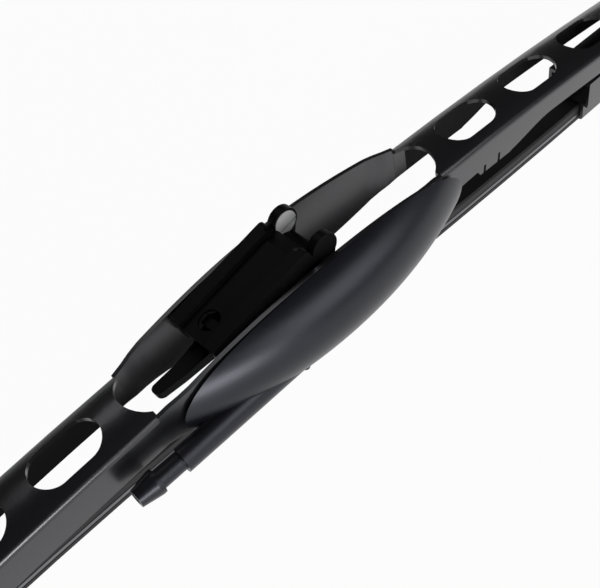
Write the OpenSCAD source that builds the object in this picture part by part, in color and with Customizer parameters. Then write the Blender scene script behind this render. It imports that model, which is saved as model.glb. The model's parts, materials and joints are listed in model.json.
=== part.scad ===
// Framed wiper blade with a washer spray housing on its front side.
// X runs along the blade, Y runs across it and Z points away from the glass.
// The origin is the middle of the cross pin that the arm adapter turns on.
// Most pieces are drawn from the bridge's own middle, at the height of its crown.

/* [Rubber strip] */
// Length of the rubber strip
blade_l = 700; // [660:5:760]
// Radius that the unloaded strip is bowed to
strip_r = 2700; // [2300:50:3600]
// Height from the bridge's crown down to the strip at the middle
strip_drop = 21.2; // [20.6:0.1:24]
// Half width of the strip's head
head_hw = 4.1; // [3.9:0.05:4.2]
// Height of the head above the flexor groove
head_h = 2.4; // [1.8:0.1:3]
// Height of the head below the groove
root_h = 1.5; // [1.3:0.1:2]
// Half width of the head below the groove
root_hw = 2.8; // [2.4:0.1:2.9]
// Half width of the web between the two grooves
web_hw = 1.6; // [1.2:0.1:2]
// Half width of the neck that lets the lip flop over
neck_hw = 0.8; // [0.6:0.1:1.1]
// Half width of the shoulders under the neck
shoulder_hw = 2.5; // [2:0.1:2.8]
// Half width of the wiping edge
edge_hw = 0.4; // [0.3:0.05:0.6]
// Height of the whole strip
strip_h = 10.5; // [9.6:0.1:12]

/* [Flexors] */
// Thickness of each spring steel flexor
flexor_t = 1.0; // [0.8:0.05:1.2]
// Width of each flexor
flexor_w = 2.55; // [2.2:0.05:2.8]
// Gap between a flexor and its groove
groove_gap = 0.05; // [0.03:0.01:0.1]

/* [Primary bridge] */
// Outer width of the bridge's channel
bridge_w = 17.2; // [16.8:0.1:19]
// Thickness of the pressed steel
sheet_t = 1.1; // [0.9:0.05:1.2]
// Radius of the bridge's arch along the blade
arch_r = 1050; // [950:10:1200]
// Radius of the domed top across the blade
dome_r = 17; // [15:0.5:22]
// Radius of the edge between the top and the side walls
edge_r = 1.8; // [1.5:0.1:2.4]
// Wall depth under the crown along the middle stretch
skirt_h = 11.6; // [10:0.1:13]
// Wall depth under the crown toward the ends
end_skirt_h = 8.4; // [7.6:0.1:9.5]
// Distance from the middle to the right end of the deep wall
skirt_right = 68; // [60:1:80]
// Distance from the middle to the left end of the deep wall
skirt_left = 94; // [80:1:110]
// Length of the curve between the two wall depths
skirt_run = 20; // [12:1:28]
// Distance from the middle to each yoke rivet
yoke_x = 212; // [205:1:225]
// Depth of the yoke rivets under the crown
rivet_drop = 4.6; // [4.4:0.1:5.2]
// Radius of the rounded ends round the yoke rivets
bridge_end_r = 6.2; // [5.5:0.1:7]
// Length of the gap in the top, from each yoke rivet inward
clevis_in = 21; // [19:0.5:26]

/* [Windows and opening] */
// Length of each oval window
window_l = 18; // [14:0.5:20]
// Width of each oval window
window_w = 10.8; // [9:0.1:11.5]
// Distance between neighbouring windows
window_pitch = 25; // [22:0.5:27]
// Distance from the middle to the first window
window_start = 54.5; // [52:0.5:58]
// Windows on each side of the opening
window_n = 5; // [1:1:5]
// Length of the central opening
opening_l = 97; // [94:1:101]

/* [Cheeks] */
// Length of the two bulged cheeks beside the opening
cheek_l = 90; // [86:1:92]
// Outer width over the cheeks at the middle
cheek_w = 20.6; // [20:0.1:22]
// Length of the step where a cheek flares out of the wall
flare_run = 9; // [6:0.5:14]
// Share of the flare that comes in that first step
flare_share = 0.65; // [0.5:0.05:0.8]
// Height of the cheeks' rims above the crown
rim_rise = 2.8; // [2:0.1:4]
// Depth of the rims under the crown at the cheeks' ends
rim_dip = 2.9; // [2:0.1:4]
// Depth of the cheeks under the crown at the middle
cheek_drop = 16.6; // [15:0.1:18]

/* [Hose tab] */
// Distance from the middle to the first slit of the tab on the front wall
slit_x = 60.4; // [59:0.1:62]
// Distance between the two slits
slit_pitch = 5.6; // [4:0.1:7]
// Width of each slit
slit_w = 0.9; // [0.6:0.1:1.2]
// Depth of each slit
slit_h = 2.2; // [1.5:0.1:3]
// Length of the shallow stretch of wall between the cheek and the tab
relief_l = 9; // [6:0.5:11]
// Height of that shallow stretch
relief_h = 1.7; // [1:0.1:2.5]

/* [Yokes] */
// Outer width of each secondary yoke
yoke_w = 13.8; // [13.4:0.1:14]
// Thickness of the yokes' steel
yoke_t = 1.0; // [0.8:0.05:1.1]
// Distance from a secondary yoke's rivet to its inner claw
inner_arm = 100; // [92:1:106]
// Distance from a yoke's rivet to the near end of its outer yoke
outer_yoke_gap = 7.5; // [7:0.1:9]
// Wall height of the secondary yokes
yoke_h = 5.4; // [5:0.1:6]
// Height of the inner claw's top over the yoke's rivet
claw_top = 3.0; // [2:0.1:3.4]
// Angle that both yokes hang to one side at rest
yoke_hang = 1.5; // [0:0.1:2]
// Outer width of each outer yoke
outer_yoke_w = 8.8; // [8.4:0.1:9.2]
// Distance from an outer yoke's rivet to each of its claws
claw_arm = 44; // [40:1:47]
// Wall height of the outer yokes
outer_yoke_h = 4.6; // [4.2:0.1:5]
// Height of the outer rivets over the strip's head
outer_lift = 4.0; // [3.8:0.1:4.6]

/* [Claws] */
// Length of each claw along the blade
claw_l = 9; // [6:0.5:10]
// Thickness of the claws' steel
claw_t = 1.0; // [0.8:0.05:1.1]
// Gap between a claw and the strip
claw_gap = 0.25; // [0.2:0.05:0.35]

/* [Rivets and bushes] */
// Radius of the yoke rivets' shanks
rivet_r = 1.5; // [1.3:0.05:1.6]
// Radius of the yoke rivets' heads
rivet_head_r = 3.0; // [2.6:0.1:3.4]
// Height of a rivet's head
rivet_head_h = 0.9; // [0.6:0.1:1.1]
// Wall of the bush round a rivet
bush_t = 0.85; // [0.7:0.05:0.9]
// Running clearance on the radius of every pivot
run_gap = 0.06; // [0.04:0.01:0.09]
// Gap between flat faces that turn against each other
side_gap = 0.05; // [0.03:0.01:0.1]
// Radius of the outer rivets' shanks
outer_rivet_r = 1.2; // [1.1:0.05:1.3]
// Radius of the outer rivets' heads
outer_head_r = 2.4; // [2.2:0.1:2.8]

/* [Cross pin] */
// Radius of the cross pin
pin_r = 2.4; // [2.2:0.05:2.5]
// Radius of the cross pin's heads
pin_head_r = 3.6; // [3.2:0.1:4]
// Distance of the cross pin from the bridge's middle
pin_x = 5; // [3:0.5:7]
// Depth of the cross pin under the crown
pin_drop = 3.0; // [2.8:0.1:3.6]

/* [Adapter] */
// Angle that the adapter is tipped up by at its pin end
adapter_tilt = 11.5; // [6:0.5:13]
// Outer width of the adapter
adapter_w = 15.4; // [15:0.1:16.6]
// Length of the adapter from the pin to its arm end
adapter_l = 31.2; // [30:0.1:34]
// Height of the adapter's rails over the pin
rail_top = 10.6; // [10:0.1:11.5]
// Thickness of the adapter's side flanges
flange_t = 2.2; // [1.8:0.1:2.4]
// Width of the rails along the flanges' tops
rail_w = 3.4; // [2.6:0.1:4]
// Height of the rails over the top plate
rail_h = 1.3; // [0.8:0.1:1.6]
// Thickness of the top plate
plate_t = 1.0; // [0.8:0.1:1.4]
// Radius of the hole in the top plate
latch_hole_r = 2.75; // [2.4:0.05:3]
// Distance from the pin to that hole
latch_hole_x = 25.9; // [24:0.1:26.5]
// Radius of the hub that the arm's hook wraps
hub_r = 4.5; // [4.3:0.1:4.7]
// Radius of the two round ears
ear_r = 3.7; // [3.4:0.1:4]
// Distance of the ears' middle past the pin
ear_x = 3.3; // [3:0.1:4]
// Height of the ears' middle over the pin
ear_z = 6.4; // [6:0.1:7]

/* [Latch] */
// Distance from the pin to the latch's pivot
latch_x = 9.2; // [8.8:0.1:10]
// Height of the latch's pivot over the pin
latch_z = 1.6; // [1.2:0.1:2]
// Radius of the latch's pivot barrel
latch_r = 1.3; // [1.1:0.05:1.5]
// Distance from the pin to the tip of the latch's tongue
tongue_x = 45.6; // [42:0.1:48]
// Width of the latch
latch_w = 5.4; // [4.6:0.1:6]
// Thickness of the latch's tongue
tongue_t = 1.4; // [1.1:0.1:1.8]

/* [Spray housing] */
// Distance from the bridge's middle to the housing's middle
cover_x = 4.5; // [3:0.5:6]
// Radius of the housing's cross-section
cover_r = 11.7; // [11:0.1:12.2]
// Radius that the housing is swept along
cover_sweep_r = 111; // [100:1:122]
// How far the housing's front stands from the blade's middle
cover_front = 19; // [18.4:0.1:20]
// Depth of the housing's middle under the crown
cover_drop = 8.7; // [8:0.1:9.4]
// Wall of the housing
cover_t = 1.6; // [1.3:0.1:2]
// Thickness of the housing's back plate
back_t = 1.2; // [1:0.1:1.6]
// Gap between the back plate and the cheek
back_gap = 0.1; // [0.05:0.05:0.3]

/* [Hose connection] */
// Distance of the hose tube's axis from the blade's middle
tube_y = 13; // [12.6:0.1:13.4]
// Depth of the hose tube's axis under the crown
tube_drop = 13.6; // [13:0.1:14]
// Outer radius of the hose tube
tube_r = 3.3; // [3.1:0.05:3.5]
// Distance from the bridge's middle to the tube's mouth
tube_mouth_x = 46; // [44:0.5:48]
// Depth that the barb's shank goes into the tube
shank_depth = 9; // [7:0.5:12]
// Radius of the barb's shank
shank_r = 2.4; // [2.1:0.05:2.5]
// Radius of the barb's crest
crest_r = 3.1; // [2.9:0.05:3.3]
// Length of the land on the barb's crest
crest_l = 1.0; // [0.6:0.1:1.6]
// Distance from the tube's mouth to the barb's crest
crest_x = 6.4; // [5.5:0.1:8]
// Length of the barb's cone
cone_l = 4.9; // [4:0.1:6]
// Radius of the barb at its tip
tip_r = 2.2; // [2:0.05:2.4]
// Radius of the water bore
water_r = 1.4; // [1:0.05:1.6]
// Radius of the seal ring's cord
seal_cord_r = 0.5; // [0.4:0.05:0.6]
// Radius of the spray nozzle
jet_r = 1.1; // [0.9:0.05:1.3]
// Radius of the spray nozzle's hole
jet_hole_r = 0.4; // [0.3:0.05:0.5]
// Length of the spray nozzle
jet_l = 4.2; // [3.6:0.1:4.4]
// Distance from the hose tube's inner end back to the nozzle
jet_back = 6; // [5:0.5:9]

/* [End caps] */
// Length of the caps over the strip's ends
cap_l = 6; // [5:0.5:9]
// Wall of the caps
cap_t = 0.8; // [0.6:0.05:1]
// Gap between a cap and what it holds
cap_gap = 0.1; // [0.05:0.05:0.15]

/* [Hidden] */
$fn = 64;
fine = 360;
arch_fn = 1440;
over = 1;
lap = 0.4;
far = 60;
left = -1;
right = 1;

// Directions and colours
steel_black = [0.08, 0.08, 0.09];
plastic_black = [0.12, 0.12, 0.13];
plastic_dark = [0.17, 0.17, 0.18];
rubber_black = [0.05, 0.05, 0.05];
spring_steel = [0.35, 0.35, 0.37];

// Bridge
bridge_hw = bridge_w / 2;
inner_hw = bridge_hw - sheet_t;
edge_y = bridge_hw - edge_r;
edge_z = -dome_r + sqrt(pow(dome_r - edge_r, 2) - pow(edge_y, 2));
edge_a = atan2(edge_y, edge_z + dome_r);
rivet_z = arch_z(yoke_x) - rivet_drop;
bridge_end_x = yoke_x + bridge_end_r + over;
cheek_hl = cheek_l / 2;
flare_w = (cheek_w - bridge_w) / 2;
rim_r = (pow(cheek_hl, 2) + pow(rim_rise + rim_dip, 2)) / (2 * (rim_rise + rim_dip));
belly_dip = -arch_z(cheek_hl) + skirt_h;
belly_r = (pow(cheek_hl, 2) + pow(cheek_drop - belly_dip, 2)) / (2 * (cheek_drop - belly_dip));
slot_hw = inner_hw + 0.1;

// Strip
hang_k = tan(yoke_hang);
claw_x = yoke_x - inner_arm;
swing_b = 2 * (1 + (inner_arm - claw_x) / (2 * claw_x)) * hang_k / (2 * pow(claw_x, 2));
swing_a = hang_k - 3 * swing_b * pow(claw_x, 2);
groove_z = -head_h;
groove_h = flexor_t + 2 * groove_gap;
root_z = groove_z - groove_h;
neck_z = root_z - root_h;
flexor_hw = web_hw + groove_gap + flexor_w;
strip_hl = blade_l / 2;

// Yokes, each drawn from its own rivet with +X pointing outward
yoke_hw = yoke_w / 2;
yoke_in = yoke_hw - yoke_t;
outer_hw = outer_yoke_w / 2;
outer_in = outer_hw - yoke_t;
head_under = -(head_z0(yoke_x) - rivet_z);
yoke_top = rivet_drop - sheet_t - 0.6;
outer_arm = claw_arm + claw_l / 2 + outer_yoke_gap;
outer_rivet_x = outer_arm;
outer_rivet_z = local_head(outer_arm) + outer_lift;
outer_top = outer_rivet_z + yoke_t + 4.1;
outer_yoke_top = 2.8;
bush_r = rivet_r + run_gap + bush_t;
yoke_hole_r = bush_r + run_gap;
outer_bush_r = outer_rivet_r + run_gap + bush_t - 0.1;
outer_hole_r = outer_bush_r + run_gap;

// Adapter and housing
adapter_hw = adapter_w / 2;
flange_in = adapter_hw - flange_t;
plate_top = rail_top - rail_h;
hub_bore_r = pin_r + run_gap;
cover_back_y = -(cheek_w / 2 + back_gap);
cover_mid_y = -cover_front + cover_r;
tube_bore_r = shank_r + run_gap;
seal_x = -tube_mouth_x + 2.2;
tube_end = cover_x - 8;
jet_wall = 1.2;

// Height of the bridge's crown line at a distance from its middle
function arch_z(x) = -(arch_r - sqrt(pow(arch_r, 2) - pow(x, 2)));
// Height of the bowed strip's head without the yokes' hang
function head_z0(x) = -strip_drop - pow(x, 2) / (2 * strip_r);
// Height that the yokes' hang adds along the blade
function swing(x) = abs(x) >= claw_x
    ? hang_k * (x - sign(x) * yoke_x)
    : swing_a * x + swing_b * pow(x, 3);
// Height of the strip's head along the blade
function head_z(x) = head_z0(x) + swing(x);
// Slope of the strip over a yoke's rivet, on one side
function yoke_slope(side) = -side * yoke_x / strip_r + hang_k;
// Height of the strip's head seen from a secondary yoke's own rivet
function local_head(x) = -head_under - pow(x, 2) / (2 * strip_r);
// Angle of the strip seen from a point along a yoke
function local_angle(x) = atan(x / strip_r);
// A step from 0 to 1 with level ends
function ease(t) = let (u = min(max(t, 0), 1)) u * u * (3 - 2 * u);
// Half width over the cheeks along the opening
function cheek_y(x) = bridge_hw + flare_w * (
    flare_share * ease((cheek_hl - abs(x)) / flare_run)
    + (1 - flare_share) * pow(cos(90 * min(1, abs(x) / cheek_hl)), 2));
// Points on an arc, with angles counted from straight up
function arc(c, r, a, b, n) = [for (i = [0:n]) let (t = a + (b - a) * i / n) c + r * [sin(t), cos(t)]];
// Points on a Bezier curve through four control points
function bezier(p, n) = [for (i = [0:n]) let (t = i / n)
    pow(1 - t, 3) * p[0] + 3 * t * pow(1 - t, 2) * p[1] + 3 * t * t * (1 - t) * p[2] + pow(t, 3) * p[3]];
// A list in the opposite order
function back(list) = [for (i = [len(list) - 1:-1:0]) list[i]];
// A closed outline from its right half
function mirrored(half) = concat(half, back([for (p = half) [-p[0], p[1]]]));

// Puts children at the bridge's middle, at the height of its crown
module at_bridge() {
    translate([-pin_x, 0, pin_drop]) children();
}

// Extrudes a side outline, drawn in X and Z, evenly across the blade
module across(width, fn = 64) {
    rotate([90, 0, 0]) linear_extrude(width, center = true, $fn = fn) children();
}

// Round bar or hole across the blade
module cross_bar(r, width) {
    rotate([90, 0, 0]) cylinder(r = r, h = width, center = true);
}

// Pair of round discs or rings on both sides of the blade
module cross_discs(r, from_y, t) {
    for (s = [-1, 1])
        translate([0, s * (from_y + t / 2), 0]) rotate([90, 0, 0]) cylinder(r = r, h = t, center = true);
}

// Sweeps a section along the bridge's arch between two distances from the middle
module along_arch(x_from, x_to) {
    a_from = asin(x_from / arch_r);
    a_to = asin(x_to / arch_r);
    translate([0, 0, -arch_r]) rotate([90, 0, 0]) rotate([0, 0, 90 - a_to])
        rotate_extrude(angle = a_to - a_from, $fn = arch_fn) children();
}

// Section of the pressed channel, with a domed top and open below
module channel_section(depth) {
    outer = concat(
        [[-bridge_hw, -depth]],
        arc([-edge_y, edge_z], edge_r, -90, -edge_a, 4),
        arc([0, -dome_r], dome_r, -edge_a, edge_a, 10),
        arc([edge_y, edge_z], edge_r, edge_a, 90, 4),
        [[bridge_hw, -depth]]);
    inner = concat(
        [[-inner_hw, -depth]],
        arc([-edge_y, edge_z], edge_r - sheet_t, -90, -edge_a, 3),
        arc([0, -dome_r], dome_r - sheet_t, -edge_a, edge_a, 8),
        arc([edge_y, edge_z], edge_r - sheet_t, edge_a, 90, 3),
        [[inner_hw, -depth]]);
    polygon([for (p = concat(outer, back(inner))) [arch_r + p[1], p[0]]]);
}

// Stadium in plan, used for the windows and the central opening
module stadium(length, width) {
    square([length - width, width], center = true);
    for (s = [-1, 1]) translate([s * (length - width) / 2, 0]) circle(d = width);
}

// Cuts the wall from its deep stretch, past an eased step, down to its shallow one
module skirt_cut(side, start) {
    run_end = start + skirt_run;
    steps = 16;
    eased = [for (i = [2:12]) let (t = i / 12, x = start + skirt_run * t)
        [side * x, arch_z(x) - skirt_h + (skirt_h - end_skirt_h) * ease(t)]];
    shallow = [for (i = [1:steps]) let (x = run_end + (bridge_end_x + over - run_end) * i / steps)
        [side * x, arch_z(x) - end_skirt_h]];
    across(bridge_w + 2 * over) polygon(concat(
        [[side * start, -far], [side * start, arch_z(start) - skirt_h - over]], eased, shallow,
        [[side * (bridge_end_x + over), -far]]));
}

// Slits and shallow stretch on the front wall, beside the housing
module hose_tab_cuts() {
    wall_z = arch_z(slit_x) - skirt_h;
    for (i = [0, 1]) translate([slit_x + i * slit_pitch, -bridge_hw, wall_z])
        rotate([0, 8, 0]) cube([slit_w, 3 * sheet_t, 2 * slit_h], center = true);
    relief_x = slit_x - slit_w - relief_l;
    translate([0, -bridge_hw, 0]) across(3 * sheet_t) polygon([
        [relief_x - relief_h, wall_z - over], [relief_x, wall_z + relief_h],
        [relief_x + relief_l - relief_h, wall_z + relief_h], [relief_x + relief_l, wall_z - over]]);
}

// Bulged side walls of the opening, with an arched rim and belly
module cheeks() {
    steps = 30;
    xs = [for (i = [0:steps]) cheek_hl * (2 * i / steps - 1)];
    intersection() {
        union() for (s = [-1, 1]) translate([0, 0, -far / 2]) linear_extrude(far) polygon(concat(
            [for (x = xs) [x, s * cheek_y(x)]], [for (x = back(xs)) [x, s * (cheek_y(x) - sheet_t)]]));
        across(2 * far, fine) intersection() {
            translate([0, rim_rise - rim_r]) circle(rim_r, $fn = fine);
            translate([0, belly_r - cheek_drop]) circle(belly_r, $fn = fine);
        }
    }
}

module primary_bridge() {
    color(steel_black) at_bridge() difference() {
        union() {
            difference() {
                along_arch(-bridge_end_x, bridge_end_x) channel_section(skirt_h);
                skirt_cut(right, skirt_right);
                skirt_cut(left, skirt_left);
                translate([0, 0, -far / 2]) linear_extrude(far) stadium(opening_l, 2 * slot_hw);
                cube([2 * (cheek_hl - lap), far, far], center = true);
            }
            cheeks();
        }
        for (s = [-1, 1], i = [0:window_n - 1])
            translate([s * (window_start + window_l / 2 + i * window_pitch), 0, -far / 2])
                linear_extrude(far) stadium(window_l, window_w);
        hose_tab_cuts();
        translate([pin_x, 0, -pin_drop]) cross_bar(pin_r + run_gap, 2 * bridge_w);
        for (s = [-1, 1]) translate([s * yoke_x, 0, rivet_z]) {
            cross_bar(rivet_r + run_gap, 2 * bridge_w);
            // Clevis gap in the top, for the yoke to rise into
            translate([s * (far - clevis_in), 0, rivet_drop]) cube([2 * far, 2 * inner_hw, 2 * rivet_drop], center = true);
            // Round end of each clevis ear
            difference() {
                translate([s * (bridge_end_r + over), 0, 0])
                    cube([2 * (bridge_end_r + over), 2 * bridge_w, far], center = true);
                cross_bar(bridge_end_r, 3 * bridge_w);
            }
        }
    }
}

// Rivet across the blade, with a head on each side
module rivet(r, head_r, head_h, seat_y) {
    cross_bar(r, 2 * seat_y + head_h);
    difference() {
        cross_discs(head_r, seat_y, head_h);
        for (s = [-1, 1]) translate([0, s * (seat_y + head_h), 0]) rotate([90, 0, 0])
            rotate_extrude() translate([head_r, 0]) rotate(45)
                square(head_h * 0.7, center = true);
    }
}

module cross_pin() {
    color(spring_steel) rivet(pin_r, pin_head_r, rivet_head_h, cheek_y(pin_x) + side_gap);
}

// Bush with a collar on each side, which a yoke turns on
module bush(r_in, r_out, collar_r, collar_y, end_y) {
    difference() {
        union() {
            cross_bar(r_out, 2 * end_y);
            cross_discs(collar_r, collar_y, end_y - collar_y);
        }
        cross_bar(r_in, 3 * end_y);
    }
}

// Steel claw that grips the strip's flexors, with the strip's head at z = 0
module claw(roof_hw) {
    in_hw = flexor_hw + claw_gap;
    hook_hw = root_hw + claw_gap;
    hook_z = root_z - claw_gap;
    rotate([90, 0, 90]) linear_extrude(claw_l, center = true) {
        translate([-roof_hw, claw_gap]) square([2 * roof_hw, claw_t]);
        for (s = [-1, 1]) scale([s, 1]) {
            translate([in_hw, hook_z]) square([claw_t, claw_gap + claw_t - hook_z]);
            translate([hook_hw, hook_z - claw_t]) square([in_hw - hook_hw, claw_t]);
            intersection() {
                translate([in_hw, hook_z]) circle(claw_t);
                translate([in_hw, hook_z - claw_t]) square(claw_t);
            }
        }
    }
}

// Claw placed on the strip, as seen from a yoke's own rivet
module claw_at(x, head, roof_hw) {
    translate([x, 0, head]) rotate([0, local_angle(x), 0]) claw(roof_hw);
}

// Side outline of a beam of even depth under a Bezier top line
module beam_outline(top, depth) {
    line = bezier(top, 24);
    polygon(concat(line, [for (p = back(line)) p - [0, depth]]));
}

// Secondary yoke, from its inner claw to its outer clevis
module yoke() {
    in_x = inner_arm + claw_l / 2;
    out_x = outer_rivet_x + 4;
    top = [[-in_x, claw_top], [-0.62 * in_x, claw_top + 1.5], [-0.2 * in_x, yoke_top - 1.4], [out_x, outer_top]];
    roof_z = local_head(inner_arm) + claw_gap + claw_t;
    difference() {
        across(yoke_w) {
            beam_outline(top, yoke_h);
            circle(bush_r + 1.2);
            translate([outer_rivet_x, outer_rivet_z]) circle(outer_bush_r + 1.4);
            // Drop that carries the inner claw
            polygon([[-in_x, roof_z - claw_t / 2], [-in_x, claw_top - 1],
                [-in_x + claw_l + 6, claw_top - 3], [-in_x + claw_l, roof_z - claw_t / 2]]);
        }
        across(2 * yoke_in) {
            polygon(concat([for (p = bezier(top, 24)) p - [0, yoke_t]],
                [[out_x + over, outer_top - yoke_t], [out_x + over, -far], [-in_x - over, -far],
                 [-in_x - over, claw_top - yoke_t]]));
            // Clevis gap in the top, for the outer yoke to rise into
            translate([outer_rivet_x + 3, outer_rivet_z + 4]) square([14, 8], center = true);
        }
        cross_bar(yoke_hole_r, 2 * yoke_w);
        translate([outer_rivet_x, 0, outer_rivet_z]) cross_bar(outer_rivet_r + run_gap, 2 * yoke_w);
    }
    claw_at(-inner_arm, local_head(inner_arm), yoke_hw - 0.15);
}

// Outer yoke, with a claw at each end
module outer_yoke() {
    end_x = claw_arm + claw_l / 2;
    head = -outer_lift - pow(claw_arm, 2) / (2 * strip_r);
    end_top = head + claw_gap + claw_t + 1.2;
    top = [[-end_x, end_top], [-0.55 * end_x, outer_yoke_top + 0.5], [0.55 * end_x, outer_yoke_top + 0.5],
        [end_x, end_top]];
    roof_bottom = head + claw_gap;
    difference() {
        union() {
            intersection() {
                across(outer_yoke_w) beam_outline(top, outer_yoke_h);
                translate([0, 0, roof_bottom + 0.1 + far / 2]) cube([4 * end_x, far, far], center = true);
            }
            cross_bar(outer_bush_r + 1, outer_yoke_w);
        }
        difference() {
            across(2 * outer_in) polygon(concat([for (p = bezier(top, 24)) p - [0, yoke_t]],
                [[end_x + over, -far], [-end_x - over, -far]]));
            for (s = [-1, 1]) translate([s * claw_arm, 0, roof_bottom + claw_t / 2])
                cube([claw_l - 0.4, outer_yoke_w, claw_t], center = true);
        }
        cross_bar(outer_hole_r, 2 * outer_yoke_w);
    }
    for (s = [-1, 1]) claw_at(s * claw_arm, head, flexor_hw + claw_gap + claw_t);
}

// Places a piece drawn outward from a secondary yoke's rivet on one side
module on_yoke(side) {
    at_bridge() translate([side * yoke_x, 0, rivet_z]) rotate([0, -atan(yoke_slope(side)), 0])
        scale([side, 1, 1]) children();
}

// Places a piece drawn outward from an outer yoke's rivet on one side
module on_outer_yoke(side) {
    on_yoke(side) translate([outer_rivet_x, 0, outer_rivet_z]) rotate([0, local_angle(outer_arm), 0]) children();
}

module left_yoke() { color(steel_black) on_yoke(left) yoke(); }
module right_yoke() { color(steel_black) on_yoke(right) yoke(); }
module left_outer_yoke() { color(steel_black) on_outer_yoke(left) outer_yoke(); }
module right_outer_yoke() { color(steel_black) on_outer_yoke(right) outer_yoke(); }

module yoke_rivet() { rivet(rivet_r, rivet_head_r, rivet_head_h, bridge_hw + side_gap); }
module left_rivet() { color(spring_steel) on_yoke(left) yoke_rivet(); }
module right_rivet() { color(spring_steel) on_yoke(right) yoke_rivet(); }

module yoke_bush() {
    bush(rivet_r + run_gap, bush_r, bush_r + 1.1, yoke_hw + side_gap, inner_hw - side_gap);
}
module left_bush() { color(plastic_dark) on_yoke(left) yoke_bush(); }
module right_bush() { color(plastic_dark) on_yoke(right) yoke_bush(); }

module outer_rivet() { rivet(outer_rivet_r, outer_head_r, rivet_head_h, yoke_hw + side_gap); }
module left_outer_rivet() { color(spring_steel) on_outer_yoke(left) outer_rivet(); }
module right_outer_rivet() { color(spring_steel) on_outer_yoke(right) outer_rivet(); }

module outer_bush() {
    bush(outer_rivet_r + run_gap, outer_bush_r, outer_bush_r + 0.9, outer_hw + side_gap, yoke_in - side_gap);
}
module left_outer_bush() { color(plastic_dark) on_outer_yoke(left) outer_bush(); }
module right_outer_bush() { color(plastic_dark) on_outer_yoke(right) outer_bush(); }

// Sweeps a closed section of [y, z] points along the strip's own line
module along_strip(section, x_from, x_to, steps) {
    n = len(section);
    rings = [for (i = [0:steps]) let (x = x_from + (x_to - x_from) * i / steps)
        for (p = section) [x, p[0], head_z(x) + p[1]]];
    sides = [for (i = [0:steps - 1], j = [0:n - 1]) let (k = (j + 1) % n)
        [i * n + j, i * n + k, (i + 1) * n + k, (i + 1) * n + j]];
    polyhedron(rings, concat([[for (j = [n - 1:-1:0]) j]], sides, [[for (j = [0:n - 1]) steps * n + j]]), 10);
}

// Right half of the rubber's section, from the top of its head down to the wiping edge
strip_half = [
    [head_hw - 0.5, 0], [head_hw, -0.5], [head_hw, groove_z], [web_hw, groove_z], [web_hw, root_z],
    [root_hw, root_z], [root_hw, neck_z], [neck_hw, neck_z], [neck_hw, neck_z - 0.9],
    [shoulder_hw, neck_z - 1.3], [shoulder_hw, neck_z - 2.0], [edge_hw, -strip_h + 0.8], [edge_hw, -strip_h]];

module wiper_rubber() {
    color(rubber_black) at_bridge()
        along_strip(mirrored(strip_half), -strip_hl, strip_hl, 36);
}

// Flexor in the groove on one side of the strip
module flexor(side) {
    y_in = side * (web_hw + groove_gap);
    y_out = side * flexor_hw;
    z_top = groove_z - groove_gap;
    section = [[y_in, z_top], [y_out, z_top], [y_out, z_top - flexor_t], [y_in, z_top - flexor_t]];
    at_bridge() along_strip(side > 0 ? section : back(section), 1 - strip_hl, strip_hl - 1, 36);
}

module front_flexor() { color(spring_steel) flexor(-1); }
module rear_flexor() { color(spring_steel) flexor(1); }

// Cap that closes one end of the strip and keeps the flexors in
module end_cap(side) {
    in_hw = flexor_hw + cap_gap;
    out_hw = in_hw + cap_t;
    slope = side * (head_z(side * strip_hl) - head_z(side * (strip_hl - cap_l))) / cap_l;
    plate_x = cap_gap + abs(slope) * -neck_z;
    at_bridge() translate([side * strip_hl, 0, head_z(side * strip_hl)]) rotate([0, -atan(slope), 0])
        scale([side, 1, 1]) rotate([90, 0, 90]) {
            translate([0, 0, plate_x]) linear_extrude(cap_t)
                translate([-out_hw, neck_z]) square([2 * out_hw, cap_t + cap_gap - neck_z]);
            translate([0, 0, -cap_l]) linear_extrude(cap_l + plate_x + cap_t / 2) {
                translate([-out_hw, cap_gap]) square([2 * out_hw, cap_t]);
                for (s = [-1, 1]) scale([s, 1]) {
                    translate([in_hw, neck_z]) square([cap_t, cap_gap - neck_z + cap_t]);
                    translate([root_hw + cap_gap, neck_z]) square([in_hw - root_hw, root_h - cap_gap]);
                }
            }
        }
}

module left_end_cap() { color(plastic_black) end_cap(left); }
module right_end_cap() { color(plastic_black) end_cap(right); }

// Housing swept in plan, so that its front bulges and its ends come to the wall
module cover_torus(r) {
    translate([cover_x, cover_mid_y + cover_sweep_r, -cover_drop])
        rotate([0, 0, -90 - 30]) rotate_extrude(angle = 60, $fn = fine)
            translate([cover_sweep_r, 0]) circle(r, $fn = 96);
}

// Everything in front of a plane across the blade
module in_front_of(y) {
    translate([-far * 2, y - far, -far]) cube([4 * far, far, 2 * far]);
}

module hose_tube(r, x_from, x_to) {
    translate([x_from, -tube_y, -tube_drop]) rotate([0, 90, 0]) cylinder(r = r, h = x_to - x_from);
}

// Spray nozzle's axis, from the water bore down to the housing's underside
module at_jet() {
    translate([tube_end - jet_back, -tube_y, -tube_drop - water_r - jet_l]) children();
}

module spray_cover() {
    color(plastic_black) at_bridge() difference() {
        union() {
            intersection() {
                difference() {
                    cover_torus(cover_r);
                    cover_torus(cover_r - cover_t);
                }
                in_front_of(cover_back_y);
            }
            intersection() {
                hose_tube(tube_r, -tube_mouth_x, tube_end);
                in_front_of(cover_back_y - back_t);
            }
            intersection() {
                at_jet() cylinder(r = jet_r + jet_wall, h = jet_l + water_r);
                cover_torus(cover_r);
                in_front_of(cover_back_y - back_t);
            }
        }
        hose_tube(tube_bore_r, -tube_mouth_x - over, -tube_mouth_x + shank_depth + side_gap);
        hose_tube(water_r, -tube_mouth_x, tube_end - cover_t);
        translate([seal_x, -tube_y, -tube_drop]) rotate([0, 90, 0]) rotate_extrude()
            translate([tube_bore_r, 0]) circle(seal_cord_r * 0.4);
        at_jet() cylinder(r = jet_r + run_gap, h = 4 * jet_l, center = true);
    }
}

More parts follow.
